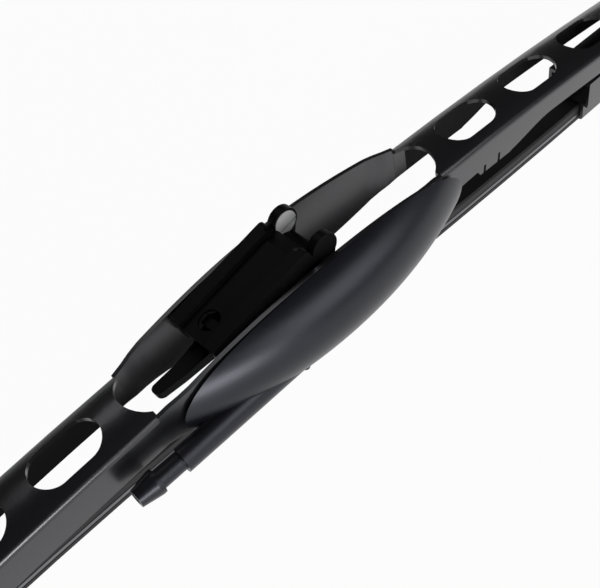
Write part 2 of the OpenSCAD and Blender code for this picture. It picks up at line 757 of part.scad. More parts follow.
// Plate that closes the housing's back, set inside its wall
module cover_back() {
    color(plastic_black) at_bridge() difference() {
        intersection() {
            cover_torus(cover_r - cover_t - side_gap);
            in_front_of(cover_back_y - side_gap);
            translate([-2 * far, cover_back_y - back_t, -far]) cube([4 * far, 2 * back_t, 2 * far]);
        }
        translate([pin_x, 0, -pin_drop]) cross_bar(pin_head_r + 0.4, 3 * bridge_w);
    }
}

module hose_barb() {
    mouth = -tube_mouth_x;
    color(plastic_black) at_bridge() translate([mouth, -tube_y, -tube_drop]) rotate([0, -90, 0]) difference() {
        rotate_extrude() polygon([
            [0, -shank_depth], [shank_r, -shank_depth], [shank_r, crest_x], [crest_r, crest_x],
            [crest_r, crest_x + crest_l], [tip_r, crest_x + crest_l + cone_l], [0, crest_x + crest_l + cone_l]]);
        cylinder(r = water_r, h = far, center = true);
        translate([0, 0, -seal_x - tube_mouth_x]) rotate_extrude()
            translate([shank_r, 0]) circle(seal_cord_r);
    }
}

module barb_seal() {
    color(rubber_black) at_bridge() translate([seal_x, -tube_y, -tube_drop]) rotate([0, 90, 0]) difference() {
        rotate_extrude() translate([shank_r, 0]) circle(seal_cord_r - 0.02);
        difference() {
            cylinder(r = shank_r + far, h = far, center = true);
            cylinder(r = tube_bore_r - 0.01, h = 2 * far, center = true);
        }
    }
}

module spray_jet() {
    color(plastic_dark) at_bridge() at_jet() translate([0, 0, 0.3]) difference() {
        cylinder(r = jet_r, h = jet_l - 0.3);
        translate([0, 0, -over]) cylinder(r = jet_hole_r, h = jet_l + 2 * over);
    }
}

// Places the adapter's pieces, tipped about the cross pin
module tipped() {
    rotate([0, -adapter_tilt, 0]) children();
}

// Side outline of a flange, with its round ear and the ring round the pin
module flange_outline() {
    corner = 1.4;
    polygon(concat(
        [[-adapter_l, 3.2], [-adapter_l, rail_top - 0.6], [-adapter_l + 0.6, rail_top]],
        arc([-0.5 - corner, rail_top - corner], corner, 0, 90, 6),
        [[-0.5, rail_top - 2.9], [ear_x - ear_r + 0.8, rail_top - 2.9], [ear_x, ear_z - 1],
         [0.85 * hub_r, 0], [0, -0.9 * hub_r], [-7, -hub_r + 0.8]]));
    translate([ear_x, ear_z]) circle(ear_r);
    polygon([[ear_x + 0.95 * ear_r * cos(15), ear_z - 0.95 * ear_r * sin(15)],
        [0.95 * hub_r * cos(12), 0.95 * hub_r * sin(12)], [0, 0], [0, ear_z]]);
}

module adapter() {
    color(plastic_black) tipped() difference() {
        union() {
            for (s = [-1, 1]) translate([0, s * (adapter_hw - flange_t / 2), 0]) across(flange_t) flange_outline();
            for (s = [-1, 1]) translate([0, s * (adapter_hw - (flange_t + rail_w) / 2 + 0.3), 0])
                across(rail_w - flange_t + 0.6) polygon([[-adapter_l, plate_top - plate_t],
                    [-adapter_l, rail_top - 0.6], [-adapter_l + 0.6, rail_top], [-2.3, rail_top],
                    [-0.9, rail_top - 1.4], [-0.9, plate_top - plate_t]]);
            across(2 * flange_in + 0.2) polygon([[-adapter_l, plate_top - plate_t], [-adapter_l, plate_top],
                [-3.5, plate_top], [0.5, plate_top - 2.6], [0.5, plate_top - 3.4], [-4, plate_top - plate_t]]);
            cross_bar(hub_r, adapter_w);
            // Web from the hub to the latch's pivot
            across(2 * flange_in + 0.2) polygon([[0, -2.5], [0, 3.6], [-latch_x - 2.2, 3.2],
                [-latch_x - 2.2, -0.6], [-4, -2.9]]);
        }
        cross_bar(hub_bore_r, 3 * adapter_w);
        // Slot that lets the hub snap down over the pin
        translate([0, 0, -hub_r]) rotate([0, -adapter_tilt, 0])
            cube([1.7 * pin_r, 2 * adapter_w, 2 * hub_r], center = true);
        translate([-latch_hole_x, 0, 0]) cylinder(r = latch_hole_r, h = far);
        translate([-latch_x, 0, latch_z]) across(latch_w + 0.6) {
            circle(latch_r + run_gap);
            translate([-4, 0.6]) square([8, 4.6], center = true);
        }
    }
}

// Side outline of the latch's tongue, with the button that sits under the plate's hole
module latch_outline() {
    button_z = plate_top - plate_t - 0.8;
    low = latch_z - tongue_t / 2;
    polygon([
        [-latch_x, low], [-latch_x, low + tongue_t], [-latch_hole_x + 6.5, low + tongue_t + 0.4],
        [-latch_hole_x + 1.6, button_z - 0.5], [-latch_hole_x + 1.2, button_z], [-latch_hole_x - 1.2, button_z],
        [-latch_hole_x - 2, low + 2 * tongue_t + 0.6], [-tongue_x + 8, low + 2 * tongue_t + 0.8],
        [-tongue_x, low + 2 * tongue_t + 2.4], [-tongue_x - 0.4, low + tongue_t + 1.6],
        [-tongue_x + 7, low + tongue_t + 0.2], [-latch_hole_x, low + 0.2]]);
}

module latch() {
    neck_x = -latch_hole_x - 5;
    tip_hw = 0.3 * latch_w;
    rib_z = latch_z + tongue_t;
    color(plastic_dark) tipped() {
        translate([-latch_x, 0, latch_z]) cross_bar(latch_r, latch_w);
        intersection() {
            across(latch_w) latch_outline();
            translate([0, 0, -far]) linear_extrude(2 * far) {
                translate([neck_x, -latch_w / 2]) square([latch_hole_x, latch_w]);
                polygon([[neck_x, -latch_w / 2], [tip_hw - tongue_x, -tip_hw], [tip_hw - tongue_x, tip_hw],
                    [neck_x, latch_w / 2]]);
                translate([tip_hw - tongue_x, 0]) circle(tip_hw);
            }
        }
        // Ribs that stiffen the tongue behind its button
        for (s = [-1, 1]) translate([0, s * (latch_w / 2 - 0.9), 0]) across(0.8) polygon([
            [-latch_hole_x, latch_z], [-latch_hole_x - 1, rib_z + 3.4], [-latch_hole_x - 2.4, rib_z + 3.4],
            [neck_x - 4.5, rib_z + 0.6], [neck_x - 4.5, latch_z + tongue_t / 2]]);
    }
}

primary_bridge();
cross_pin();
spray_cover();
cover_back();
hose_barb();
barb_seal();
spray_jet();
adapter();
latch();
left_yoke();
right_yoke();
left_rivet();
right_rivet();
left_bush();
right_bush();
left_outer_yoke();
right_outer_yoke();
left_outer_rivet();
right_outer_rivet();
left_outer_bush();
right_outer_bush();
wiper_rubber();
front_flexor();
rear_flexor();
left_end_cap();
right_end_cap();
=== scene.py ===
"""Studio scene of a framed wiper blade with a washer spray housing on its front side."""

import json
import logging
import math
from dataclasses import dataclass, field
from enum import Enum

import bmesh
import bpy
from mathutils import Matrix, Vector
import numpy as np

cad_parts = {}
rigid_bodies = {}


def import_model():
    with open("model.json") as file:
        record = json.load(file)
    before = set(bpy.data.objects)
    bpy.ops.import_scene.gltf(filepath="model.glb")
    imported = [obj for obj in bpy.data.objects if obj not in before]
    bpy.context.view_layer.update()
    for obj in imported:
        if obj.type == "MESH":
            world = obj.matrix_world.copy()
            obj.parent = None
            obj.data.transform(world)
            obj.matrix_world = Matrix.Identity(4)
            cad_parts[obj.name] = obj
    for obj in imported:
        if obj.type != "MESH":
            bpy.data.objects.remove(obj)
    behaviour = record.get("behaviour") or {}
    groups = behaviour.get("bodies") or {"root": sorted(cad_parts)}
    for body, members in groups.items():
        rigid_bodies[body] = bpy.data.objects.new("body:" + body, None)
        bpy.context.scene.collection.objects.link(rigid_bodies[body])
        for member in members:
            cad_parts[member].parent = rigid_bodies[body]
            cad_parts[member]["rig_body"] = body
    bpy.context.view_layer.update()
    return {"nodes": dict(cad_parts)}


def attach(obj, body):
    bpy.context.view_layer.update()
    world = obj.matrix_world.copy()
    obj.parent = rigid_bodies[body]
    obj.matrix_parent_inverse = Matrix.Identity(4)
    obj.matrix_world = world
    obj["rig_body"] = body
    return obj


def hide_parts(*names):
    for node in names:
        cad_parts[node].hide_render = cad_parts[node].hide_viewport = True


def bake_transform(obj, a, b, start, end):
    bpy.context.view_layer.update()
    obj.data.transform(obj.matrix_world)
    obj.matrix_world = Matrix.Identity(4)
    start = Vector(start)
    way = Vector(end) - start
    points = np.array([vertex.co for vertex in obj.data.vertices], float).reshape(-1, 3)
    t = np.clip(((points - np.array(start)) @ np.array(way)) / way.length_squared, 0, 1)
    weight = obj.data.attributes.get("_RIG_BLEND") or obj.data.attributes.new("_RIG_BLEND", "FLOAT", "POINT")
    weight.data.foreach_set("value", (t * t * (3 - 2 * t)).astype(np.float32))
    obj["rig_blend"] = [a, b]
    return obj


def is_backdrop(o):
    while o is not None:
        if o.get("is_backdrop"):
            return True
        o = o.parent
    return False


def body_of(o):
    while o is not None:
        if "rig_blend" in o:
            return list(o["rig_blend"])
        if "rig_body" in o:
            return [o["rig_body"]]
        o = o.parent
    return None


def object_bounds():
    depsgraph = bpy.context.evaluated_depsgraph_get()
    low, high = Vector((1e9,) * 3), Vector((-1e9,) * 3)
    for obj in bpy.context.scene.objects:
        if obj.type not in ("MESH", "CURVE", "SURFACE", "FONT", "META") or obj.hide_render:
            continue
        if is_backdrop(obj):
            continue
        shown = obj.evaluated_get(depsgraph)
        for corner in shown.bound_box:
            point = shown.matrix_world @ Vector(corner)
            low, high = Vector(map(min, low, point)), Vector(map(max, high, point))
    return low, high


LOG = logging.getLogger("wiper_blade")
MM = 0.001

# Places along the blade: its middle, the ends of the strip's stretches, and past its ends
MIDDLE_X = -5.0 * MM
LEFT_INNER_CLAW, LEFT_BEND_END, LEFT_OUTER_CLAW = -117.0 * MM, -203.0 * MM, -226.5 * MM
RIGHT_INNER_CLAW, RIGHT_BEND_END, RIGHT_OUTER_CLAW = 107.0 * MM, 193.2 * MM, 216.7 * MM
PAST_END = 400.0 * MM


class Grain(Enum):
    """Names of the surface effects that the finishes share."""

    ORANGE_PEEL = "orange_peel"
    MOULD_GRAIN = "mould_grain"
    RUBBER_BLOOM = "rubber_bloom"
    BRUSHED_LINES = "brushed_lines"


@dataclass(frozen=True)
class Finish:
    """One finish of the blade: its colours, gloss and grain."""

    name: str
    grain: Grain
    base: tuple[float, float, float]
    worn: tuple[float, float, float]
    roughness: float
    spread: float
    scale: float
    depth: float
    metallic: float = 0.0
    specular: float = 0.5
    tint: tuple[float, float, float] = (1.0, 1.0, 1.0)
    coat: float = 0.0
    coat_roughness: float = 0.2


POWDER_COAT = Finish(
    "satin_powder_coat", Grain.ORANGE_PEEL, (0.0032, 0.0033, 0.0042), (0.008, 0.0082, 0.0095),
    0.31, 0.06, 1400.0, 0.10, specular=0.55, tint=(0.93, 0.92, 1.0), coat=0.6, coat_roughness=0.22)
# Darker, duller finish for the inside of the channel: painted shade, as that inside has the same paint but
# lies in shade.
CHANNEL_SHADE_PAINT = Finish(
    "painted_channel_shade", Grain.ORANGE_PEEL, (0.0025, 0.0025, 0.003), (0.006, 0.006, 0.007),
    0.6, 0.06, 1100.0, 0.12, specular=0.18)
RIVET_BLACK = Finish(
    "blackened_rivet_steel", Grain.ORANGE_PEEL, (0.02, 0.02, 0.022), (0.045, 0.045, 0.048),
    0.3, 0.08, 2200.0, 0.08, metallic=0.4)
HOUSING_PLASTIC = Finish(
    "fine_grained_housing_plastic", Grain.MOULD_GRAIN,
    (0.0042, 0.0043, 0.0062), (0.009, 0.0091, 0.0125),
    0.37, 0.05, 5200.0, 0.10, specular=0.45, tint=(0.84, 0.86, 1.0), coat=0.15, coat_roughness=0.3)
ADAPTER_PLASTIC = Finish(
    "matte_adapter_plastic", Grain.MOULD_GRAIN, (0.0016, 0.0016, 0.002), (0.0045, 0.0045, 0.005),
    0.46, 0.08, 3800.0, 0.16, specular=0.1)
BUSH_PLASTIC = Finish(
    "slippery_bush_plastic", Grain.MOULD_GRAIN, (0.012, 0.012, 0.013), (0.03, 0.03, 0.032),
    0.42, 0.06, 4200.0, 0.08)
STRIP_RUBBER = Finish(
    "wiping_strip_rubber", Grain.RUBBER_BLOOM, (0.006, 0.006, 0.0065), (0.02, 0.02, 0.021),
    0.56, 0.1, 900.0, 0.1, specular=0.4)
SEAL_RUBBER = Finish(
    "seal_ring_rubber", Grain.RUBBER_BLOOM, (0.006, 0.006, 0.006), (0.02, 0.02, 0.02),
    0.5, 0.1, 1200.0, 0.08)
# Pale grey for the pad on the far ear: a painted highlight, the reflection on that ear's face put into
# colour.
EAR_HIGHLIGHT_PAINT = Finish(
    "painted_ear_highlight", Grain.MOULD_GRAIN, (0.42, 0.42, 0.425), (0.5, 0.5, 0.505),
    0.45, 0.06, 3000.0, 0.08)
FLEXOR_STEEL = Finish(
    "drawn_flexor_steel", Grain.BRUSHED_LINES, (0.16, 0.16, 0.17), (0.26, 0.26, 0.27),
    0.34, 0.1, 900.0, 0.06, metallic=1.0)


def placed(name: str, data: bpy.types.ID) -> bpy.types.Object:
    """Makes an object for a mesh, a light or a camera, and links it to the scene.

    Args:
        name: The object's name.
        data: What the object shows.

    Returns:
        The new object.
    """
    made = bpy.data.objects.new(name, data)
    bpy.context.scene.collection.objects.link(made)
    return made


def slice_across(
        form: bmesh.types.BMesh, place: float, facing: float = 1.0, clear: bool = False) -> list:
    """Cuts a mesh square across the blade.

    Args:
        form: The mesh.
        place: Where the cut is, along the blade.
        facing: The outer side of the cut, 1 for beyond it and -1 for before it.
        clear: Whether the outer side is taken away.

    Returns:
        The points and edges in the cut.
    """
    return bmesh.ops.bisect_plane(
        form, geom=[*form.verts, *form.edges, *form.faces], plane_co=(place, 0.0, 0.0),
        plane_no=(facing, 0.0, 0.0), clear_outer=clear)["geom_cut"]


class GrainLibrary:
    """Builds each shared surface effect once, as a shader node group."""

    coarse_noise = (3.0, 0.45)
    fine_noise = (6.0, 0.6)
    broad_scale = 45.0
    broad_detail = 4.0
    worn_from, worn_to = 0.35, 0.75
    middle = 0.5
    drawn_out = (0.04, 1.0, 1.0)

    def __init__(self) -> None:
        """Starts with no group made."""
        self._made: dict[Grain, bpy.types.NodeTree] = {}

    def group(self, grain: Grain) -> bpy.types.NodeTree:
        """Gives the node group of one effect, and builds it the first time.

        Args:
            grain: The effect that a finish asks for.

        Returns:
            The group's node tree.
        """
        if grain not in self._made:
            self._made[grain] = self._build(grain)
        return self._made[grain]

    def _build(self, grain: Grain) -> bpy.types.NodeTree:
        """Builds the tree of one effect with named sockets.

        Args:
            grain: The effect to build.

        Returns:
            The new node tree.
        """
        tree = bpy.data.node_groups.new(grain.value, "ShaderNodeTree")
        face = tree.interface
        for name, kind, value in (
            ("Base", "NodeSocketColor", (0.01, 0.01, 0.01, 1.0)),
            ("Worn", "NodeSocketColor", (0.02, 0.02, 0.02, 1.0)),
            ("Roughness", "NodeSocketFloat", 0.4),
            ("Spread", "NodeSocketFloat", 0.05),
            ("Scale", "NodeSocketFloat", 1000.0),
        ):
            socket = face.new_socket(name=name, in_out="INPUT", socket_type=kind)
            socket.default_value = value
        for name, kind in (
            ("Color", "NodeSocketColor"),
            ("Roughness", "NodeSocketFloat"),
            ("Height", "NodeSocketFloat"),
        ):
            face.new_socket(name=name, in_out="OUTPUT", socket_type=kind)
        nodes, links = tree.nodes, tree.links
        into = nodes.new("NodeGroupInput")
        out = nodes.new("NodeGroupOutput")
        place = nodes.new("ShaderNodeTexCoord")
        stretch = nodes.new("ShaderNodeMapping")
        stretch.inputs["Scale"].default_value = self._stretch(grain)
        links.new(place.outputs["Object"], stretch.inputs["Vector"])
        fine = nodes.new("ShaderNodeTexNoise")
        detail, rough = self.coarse_noise if grain is Grain.ORANGE_PEEL else self.fine_noise
        fine.inputs["Detail"].default_value = detail
        fine.inputs["Roughness"].default_value = rough
        links.new(stretch.outputs["Vector"], fine.inputs["Vector"])
        links.new(into.outputs["Scale"], fine.inputs["Scale"])
        broad = nodes.new("ShaderNodeTexNoise")
        broad.inputs["Scale"].default_value = self.broad_scale
        broad.inputs["Detail"].default_value = self.broad_detail
        links.new(place.outputs["Object"], broad.inputs["Vector"])
        share = nodes.new("ShaderNodeMapRange")
        share.inputs["From Min"].default_value = self.worn_from
        share.inputs["From Max"].default_value = self.worn_to
        links.new(broad.outputs["Fac"], share.inputs["Value"])
        worn = nodes.new("ShaderNodeMath")
        worn.operation = "MULTIPLY"
        links.new(share.outputs["Result"], worn.inputs[0])
        links.new(fine.outputs["Fac"], worn.inputs[1])
        blend = nodes.new("ShaderNodeMix")
        blend.data_type = "RGBA"
        links.new(worn.outputs["Value"], blend.inputs["Factor"])
        links.new(into.outputs["Base"], blend.inputs["A"])
        links.new(into.outputs["Worn"], blend.inputs["B"])
        swing = nodes.new("ShaderNodeMath")
        swing.operation = "SUBTRACT"
        swing.inputs[1].default_value = self.middle
        links.new(broad.outputs["Fac"], swing.inputs[0])
        gloss = nodes.new("ShaderNodeMath")
        gloss.operation = "MULTIPLY_ADD"
        links.new(swing.outputs["Value"], gloss.inputs[0])
        links.new(into.outputs["Spread"], gloss.inputs[1])
        links.new(into.outputs["Roughness"], gloss.inputs[2])
        links.new(blend.outputs["Result"], out.inputs["Color"])
        links.new(gloss.outputs["Value"], out.inputs["Roughness"])
        links.new(fine.outputs["Fac"], out.inputs["Height"])
        return tree

    def _stretch(self, grain: Grain) -> tuple[float, float, float]:
        """Gives how far an effect is drawn out along the blade.

        Args:
            grain: The effect.

        Returns:
            The scale of its pattern on each axis.
        """
        return self.drawn_out if grain is Grain.BRUSHED_LINES else (1.0, 1.0, 1.0)


class Paintshop:
    """Makes one material for each finish and dresses the pieces with it."""

    bump_distance = 0.2 * MM

    def __init__(self) -> None:
        """Starts with an empty shelf of materials."""
        self._grains = GrainLibrary()
        self._shelf: dict[str, bpy.types.Material] = {}

    def material(self, finish: Finish) -> bpy.types.Material:
        """Gives the material of a finish, and mixes it the first time.

        Args:
            finish: The finish wanted.

        Returns:
            The Blender material.
        """
        if finish.name not in self._shelf:
            self._shelf[finish.name] = self._mix(finish)
        return self._shelf[finish.name]

    def _mix(self, finish: Finish) -> bpy.types.Material:
        """Builds a finish's nodes round one Principled BSDF.

        Args:
            finish: The finish to build.

        Returns:
            The new material.
        """
        made = bpy.data.materials.new(finish.name)
        made.use_nodes = True
        nodes, links = made.node_tree.nodes, made.node_tree.links
        surface = nodes["Principled BSDF"]
        grain = nodes.new("ShaderNodeGroup")
        grain.node_tree = self._grains.group(finish.grain)
        grain.inputs["Base"].default_value = (*finish.base, 1.0)
        grain.inputs["Worn"].default_value = (*finish.worn, 1.0)
        grain.inputs["Roughness"].default_value = finish.roughness
        grain.inputs["Spread"].default_value = finish.spread
        grain.inputs["Scale"].default_value = finish.scale
        bump = nodes.new("ShaderNodeBump")
        bump.inputs["Strength"].default_value = finish.depth
        bump.inputs["Distance"].default_value = self.bump_distance
        links.new(grain.outputs["Color"], surface.inputs["Base Color"])
        links.new(grain.outputs["Roughness"], surface.inputs["Roughness"])
        links.new(grain.outputs["Height"], bump.inputs["Height"])
        links.new(bump.outputs["Normal"], surface.inputs["Normal"])
        surface.inputs["Metallic"].default_value = finish.metallic
        surface.inputs["Specular IOR Level"].default_value = finish.specular
        surface.inputs["Specular Tint"].default_value = (*finish.tint, 1.0)
        surface.inputs["Coat Weight"].default_value = finish.coat
        surface.inputs["Coat Roughness"].default_value = finish.coat_roughness
        return made

    def dress(self, piece: bpy.types.Object, finish: Finish) -> None:
        """Puts a finish on every slot of a piece.

        Args:
            piece: The mesh object to dress.
            finish: The finish that it gets.
        """
        made = self.material(finish)
        if not piece.material_slots:
            piece.data.materials.append(made)
        for slot in piece.material_slots:
            slot.material = made


@dataclass(frozen=True)
class EdgeBreak:
    """How a piece's curved faces are smoothed and its sharp edges broken."""

    radius: float
    crease: float = math.radians(32.0)
    weld: float = 0.002 * MM
    segments: int = 2

    def copy_of(self, node: bpy.types.Object, name: str) -> bpy.types.Object:
        """Copies a node's mesh into a new piece with smooth faces and broken edges.

        Args:
            node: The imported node, which stays as it is.
            name: The new piece's name.

        Returns:
            The new piece, linked to the scene.
        """
        form = bmesh.new()
        form.from_mesh(node.data)
        bmesh.ops.remove_doubles(form, verts=form.verts, dist=self.weld)
        bmesh.ops.dissolve_degenerate(form, dist=self.weld, edges=form.edges)
        for face in form.faces:
            face.smooth = True
        for edge in form.edges:
            edge.smooth = edge.is_manifold and edge.calc_face_angle() < self.crease
        mesh = bpy.data.meshes.new(name)
        form.to_mesh(mesh)
        form.free()
        piece = placed(name, mesh)
        if self.radius > 0.0:
            rounding = piece.modifiers.new("broken_edges", "BEVEL")
            rounding.width = self.radius
            rounding.segments = self.segments
            rounding.limit_method = "ANGLE"
            rounding.angle_limit = self.crease
            rounding.use_clamp_overlap = True
        even = piece.modifiers.new("even_normals", "WEIGHTED_NORMAL")
        even.keep_sharp = True
        return piece


@dataclass
class SubAssembly:
    """Pieces of the blade that share a place and a way of being dressed."""

    nodes: dict[str, bpy.types.Object]
    shop: Paintshop
    finishes: dict[str, Finish] = field(default_factory=dict)
    breaks: dict[str, EdgeBreak] = field(default_factory=dict)
    made: dict[str, bpy.types.Object] = field(default_factory=dict)

    def build(self) -> None:
        """Dresses each of the pieces and reports it."""
        for name, finish in self.finishes.items():
            piece = self.nodes[name]
            if name in self.breaks:
                piece = self.breaks[name].copy_of(piece, f"{name}_broken_edges")
                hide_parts(name)
                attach(piece, body_of(self.nodes[name])[0])
            self.shop.dress(piece, finish)
            self.made[name] = piece
            LOG.info("%s dressed in %s", piece.name, finish.name)


@dataclass
class PressedBridge(SubAssembly):
    """The pressed steel bridge with its cross pin and yoke rivets."""

    finishes: dict[str, Finish] = field(default_factory=lambda: {
        "primary_bridge": POWDER_COAT, "cross_pin": RIVET_BLACK,
        "left_rivet": RIVET_BLACK, "right_rivet": RIVET_BLACK})
    breaks: dict[str, EdgeBreak] = field(default_factory=lambda: {
        "primary_bridge": EdgeBreak(0.16 * MM)})
    opening_half: float = 48.7 * MM
    inside_half: float = 7.7 * MM
    downward: float = -0.3
    lengthwise: float = 0.5

    def build(self) -> None:
        """Dresses the bridge's pieces and paints shade on the inside of its channel."""
        super().build()
        self._paint_shade_inside()

    def _paint_shade_inside(self) -> None:
        """Gives the channel's inner faces a darker, duller finish beyond the opening: painted shade, where
        the channel's inside lies in shade.
        """
        mesh = self.made["primary_bridge"].data
        mesh.materials.append(self.shop.material(CHANNEL_SHADE_PAINT))
        shade_slot = len(mesh.materials) - 1
        form = bmesh.new()
        form.from_mesh(mesh)
        for side in (-1, 1):
            slice_across(form, MIDDLE_X + side * self.opening_half)
        form.normal_update()
        for face in form.faces:
            middle, normal = face.calc_center_median(), face.normal
            beyond = abs(middle.x - MIDDLE_X) > self.opening_half
            inward = normal.z < self.downward or normal.y * middle.y < 0.0
            inside = abs(middle.y) < self.inside_half
            if beyond and inward and inside and abs(normal.x) < self.lengthwise:
                face.material_index = shade_slot
        form.to_mesh(mesh)
        form.free()


@dataclass
class YokeSet(SubAssembly):
    """The nested yokes with their rivets and bushes."""

    finishes: dict[str, Finish] = field(default_factory=lambda: {
        f"{side}_{piece}": finish
        for side in ("left", "right")
        for piece, finish in (
            ("yoke", POWDER_COAT), ("outer_yoke", POWDER_COAT), ("outer_rivet", RIVET_BLACK),
            ("bush", BUSH_PLASTIC), ("outer_bush", BUSH_PLASTIC))})
    breaks: dict[str, EdgeBreak] = field(default_factory=lambda: {
        f"{side}_{piece}": EdgeBreak(0.1 * MM)
        for side in ("left", "right") for piece in ("yoke", "outer_yoke")})


@dataclass
class SprayHousing(SubAssembly):
    """The washer spray housing with its hose barb, seal and nozzle."""

    finishes: dict[str, Finish] = field(default_factory=lambda: {
        "spray_cover": HOUSING_PLASTIC, "cover_back": HOUSING_PLASTIC,
        "hose_barb": HOUSING_PLASTIC,
        "barb_seal": SEAL_RUBBER, "spray_jet": BUSH_PLASTIC})


@dataclass
class ArmAdapter(SubAssembly):
    """The arm adapter and its latch."""

    finishes: dict[str, Finish] = field(default_factory=lambda: {
        "adapter": ADAPTER_PLASTIC, "latch": ADAPTER_PLASTIC})
    breaks: dict[str, EdgeBreak] = field(default_factory=lambda: {
        "adapter": EdgeBreak(0.14 * MM), "latch": EdgeBreak(0.1 * MM)})
    ear_place: tuple[float, float, float] = (1.96 * MM, 5.5 * MM, 6.93 * MM)
    pad_radius: float = 3.1 * MM
    pad_height: float = 0.2 * MM
    groove_width: float = 0.28 * MM
    groove_drop: float = 1.2 * MM
    groove_tilt: float = math.radians(12.0)
    arc_points: int = 48

    def build(self) -> None:
        """Dresses the adapter and the latch, and adds the pale pad on the far ear, which paints a highlight
        there.
        """
        super().build()
        self._add_highlight_pad()

    def _pad_half(self, side: int) -> list[tuple[float, float]]:
        """Gives the outline of the pad on one side of its groove.

        Args:
            side: 1 for the large half over the groove, -1 for the small one under it.

        Returns:
            Points across the ear's face, along the groove and square to it.
        """
        level = -self.groove_drop + side * self.groove_width / 2
        start = math.asin(level / self.pad_radius)
        sweep = math.pi - 2 * start if side > 0 else -(math.pi + 2 * start)
        return [
            (self.pad_radius * math.cos(start + sweep * step / self.arc_points),
             self.pad_radius * math.sin(start + sweep * step / self.arc_points))
            for step in range(self.arc_points + 1)]

    def _add_highlight_pad(self) -> None:
        """Builds the pale pad on the inner face of the far ear, a painted reflection that stands in for the
        highlight there.
        """
        form = bmesh.new()
        turn_x, turn_z = math.cos(self.groove_tilt), math.sin(self.groove_tilt)
        x, y, z = self.ear_place
        for side in (1, -1):
            rim = [
                form.verts.new((x + u * turn_x - v * turn_z, y, z + u * turn_z + v * turn_x))
                for u, v in self._pad_half(side)]
            face = form.faces.new(rim)
            lifted = bmesh.ops.extrude_face_region(form, geom=[face])["geom"]
            moved = [part for part in lifted if isinstance(part, bmesh.types.BMVert)]
            bmesh.ops.translate(form, verts=moved, vec=(0.0, -self.pad_height, 0.0))
        bmesh.ops.recalc_face_normals(form, faces=form.faces)
        mesh = bpy.data.meshes.new("ear_highlight_pad")
        form.to_mesh(mesh)
        form.free()
        pad = placed("ear_highlight_pad", mesh)
        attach(pad, "adapter")
        self.shop.dress(pad, EAR_HIGHLIGHT_PAINT)
        LOG.info("%s dressed in %s", pad.name, EAR_HIGHLIGHT_PAINT.name)


@dataclass(frozen=True)
class StripSpan:
    """One stretch of the strip, and the one or two bodies that carry it."""

    name: str
    start: float
    end: float
    bodies: tuple[str, ...]


@dataclass
class WipingStrip(SubAssembly):
    """The rubber strip with its two flexors and end caps, carried by the claws of the yokes."""

    finishes: dict[str, Finish] = field(default_factory=lambda: {
        "wiper_rubber": STRIP_RUBBER, "front_flexor": FLEXOR_STEEL, "rear_flexor": FLEXOR_STEEL})
    caps: dict[str, str] = field(default_factory=lambda: {
        "left_end_cap": "left_outer_yoke", "right_end_cap": "right_outer_yoke"})
    spans: tuple[StripSpan, ...] = (
        StripSpan("left_outer", -PAST_END, LEFT_OUTER_CLAW, ("left_outer_yoke",)),
        StripSpan("left_pivot", LEFT_OUTER_CLAW, LEFT_BEND_END, ("left_outer_yoke", "left_yoke")),
        StripSpan("left_inner", LEFT_BEND_END, LEFT_INNER_CLAW, ("left_yoke",)),
        StripSpan("left_middle", LEFT_INNER_CLAW, MIDDLE_X, ("left_yoke", "bridge")),
        StripSpan("right_middle", MIDDLE_X, RIGHT_INNER_CLAW, ("bridge", "right_yoke")),
        StripSpan("right_inner", RIGHT_INNER_CLAW, RIGHT_BEND_END, ("right_yoke",)),
        StripSpan(
            "right_pivot", RIGHT_BEND_END, RIGHT_OUTER_CLAW, ("right_yoke", "right_outer_yoke")),
        StripSpan("right_outer", RIGHT_OUTER_CLAW, PAST_END, ("right_outer_yoke",)))
    shade: EdgeBreak = EdgeBreak(0.0)
    step: float = 3.0 * MM

    def build(self) -> None:
        """Lays the strip through the claws in spans, and puts the caps on its ends."""
        for name, finish in self.finishes.items():
            for span in self.spans:
                self.shop.dress(self._lay(name, span), finish)
            LOG.info("%s laid in %d spans, in %s", name, len(self.spans), finish.name)
        for name, body in self.caps.items():
            cap = self.shade.copy_of(self.nodes[name], f"{name}_on_strip")
            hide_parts(name)
            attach(cap, body)
            self.shop.dress(cap, BUSH_PLASTIC)
            LOG.info("%s dressed in %s", cap.name, BUSH_PLASTIC.name)

    def _lay(self, name: str, span: StripSpan) -> bpy.types.Object:
        """Makes the stretch of one long part that lies in a span, and hands it to its bodies.

        Args:
            name: The long part's node.
            span: The stretch of the blade and the bodies that carry it.

        Returns:
            The new piece.
        """
        piece = self.shade.copy_of(self.nodes[name], f"{span.name}_{name}")
        form = bmesh.new()
        form.from_mesh(piece.data)
        for place, outward in ((span.start, -1.0), (span.end, 1.0)):
            self._cut(form, place, outward)
        steps = math.ceil((span.end - span.start) / self.step) if len(span.bodies) > 1 else 1
        for number in range(1, steps):
            slice_across(form, span.start + number * (span.end - span.start) / steps)
        form.to_mesh(piece.data)
        form.free()
        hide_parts(name)
        if len(span.bodies) > 1:
            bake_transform(piece, *span.bodies, start=(span.start, 0.0, 0.0), end=(span.end, 0.0, 0.0))
        else:
            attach(piece, span.bodies[0])
        return piece

    @staticmethod
    def _cut(form: bmesh.types.BMesh, place: float, outward: float) -> None:
        """Cuts a long part square across and closes the cut.

        Args:
            form: The part's mesh.
            place: Where the cut is, along the blade.
            outward: 1 to take away what is beyond the cut, -1 to take away what is before it.
        """
        cut = slice_across(form, place, outward, clear=True)
        rim = [part for part in cut if isinstance(part, bmesh.types.BMEdge)]
        if not rim:
            return
        lids = bmesh.ops.holes_fill(form, edges=rim)["faces"]
        for lid in lids:
            lid.smooth = False
        for edge in rim:
            edge.smooth = False


@dataclass(frozen=True)
class SoftBox:
    """One soft box of the studio, placed round the blade's middle."""

    name: str
    azimuth: float
    elevation: float
    distance: float
    width: float
    height: float
    power: float


